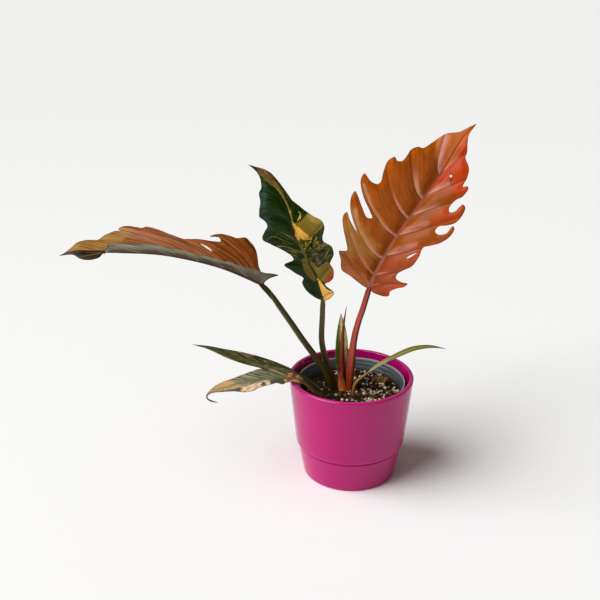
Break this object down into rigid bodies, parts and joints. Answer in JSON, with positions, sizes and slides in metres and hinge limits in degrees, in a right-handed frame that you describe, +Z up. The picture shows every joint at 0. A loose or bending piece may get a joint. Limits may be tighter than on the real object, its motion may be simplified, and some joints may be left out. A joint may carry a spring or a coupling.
{
  "type": "potted caramel marble philodendron",
  "caption": "Aroid house plant with lobed caramel, dark green and arching leaves on slim stalks, in a nursery pot of mix that stands inside a glossy magenta cover pot.",
  "frame": {"origin": "centre of the cover pot's flat underside", "axes": "+Z up, +X to the right along the plant's spread as seen from the front, -Y towards the front"},
  "size_m": [0.4357, 0.14, 0.3981],
  "materials": {
    "magenta_glaze": "gloss",
    "grey_nursery_plastic": "satin",
    "potting_mix": "matte",
    "stem_bark": "matte",
    "red_stalk": "satin",
    "green_stalk": "satin",
    "olive_stalk": "satin",
    "orange_stalk": "satin",
    "caramel_blade": "satin",
    "marbled_green_blade": "gloss",
    "orange_blade": "satin",
    "cream_marbled_blade": "satin",
    "small_green_blade": "satin",
    "strap_blade": "satin",
    "young_blade": "satin",
    "rolled_leaf": "satin",
    "papery_sheath": "matte"
  },
  "bodies": {
    "root": {"cover_pot": "magenta_glaze", "nursery_pot": "grey_nursery_plastic", "potting_mix": "potting_mix", "stem_and_roots": "stem_bark", "upright_leaf_petiole": "red_stalk", "green_leaf_petiole": "green_stalk", "arching_leaf_petiole": "olive_stalk", "upper_small_leaf_petiole": "green_stalk", "lower_leaf_petiole": "orange_stalk", "strap_leaf_petiole": "orange_stalk", "young_leaf_petiole": "green_stalk", "upright_leaf_blade": "caramel_blade", "green_leaf_blade": "marbled_green_blade", "arching_leaf_blade": "orange_blade", "lower_leaf_blade": "cream_marbled_blade", "upper_small_leaf_blade": "small_green_blade", "strap_leaf_blade": "strap_blade", "young_leaf_blade": "young_blade", "rolled_new_leaf": "rolled_leaf", "leaf_sheath": "papery_sheath"}
  },
  "joints": []
}
